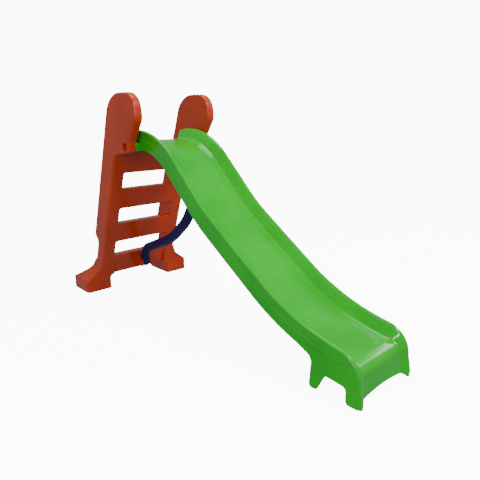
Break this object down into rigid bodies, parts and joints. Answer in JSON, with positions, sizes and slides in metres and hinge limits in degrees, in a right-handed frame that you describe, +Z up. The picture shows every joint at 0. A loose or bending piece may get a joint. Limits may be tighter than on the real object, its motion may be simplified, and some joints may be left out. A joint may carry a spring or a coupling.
{
  "type": "garden slide",
  "caption": "Child's folding garden slide: forward-leaning hollow ladder with paddle ears, waved chute with raised lips and a bent strut that ties it open.",
  "frame": {"origin": "on the ground, under the middle of the slide's overall box", "axes": "+X the way the child slides, +Y the child's left hand, +Z up"},
  "size_m": [1.5832, 0.582, 0.922],
  "materials": {
    "green_plastic": "glossy moulded polyethylene",
    "orange_plastic": "satin blow-moulded polyethylene",
    "navy_plastic": "satin moulded plastic",
    "black_plastic": "plain nylon",
    "zinc_steel": "zinc plated"
  },
  "bodies": {
    "chute": {"chute": "green_plastic", "pivot_bolt_left": "orange_plastic", "pivot_bolt_right": "orange_plastic", "pivot_washer_left": "zinc_steel", "pivot_washer_right": "zinc_steel", "backing_washer_left": "zinc_steel", "backing_washer_right": "zinc_steel", "pivot_nut_left": "zinc_steel", "pivot_nut_right": "zinc_steel", "strut_hinge_pin": "zinc_steel", "strut_hinge_clips": "black_plastic"},
    "ladder": {"ladder": "orange_plastic", "pivot_bush_left": "black_plastic", "pivot_bush_right": "black_plastic", "strut_catch": "orange_plastic", "catch_screws": "zinc_steel"},
    "strut": {"strut": "navy_plastic", "strut_foot_pin": "zinc_steel"}
  },
  "joints": [
    {"name": "ladder_fold", "type": "hinge", "parent": "chute", "child": "ladder", "pos_m": [-0.35464, 0, 0.704], "axis": [0, -1, 0], "range_deg": [0, 64]},
    {"name": "strut_swing", "type": "hinge", "parent": "chute", "child": "strut", "pos_m": [-0.11761, 0, 0.56494], "axis": [0, -1, 0], "range_deg": [0, 77]}
  ],
  "couplings": [
    {"joint": "strut_swing", "follows": "ladder_fold", "ratio": 1.2}
  ]
}
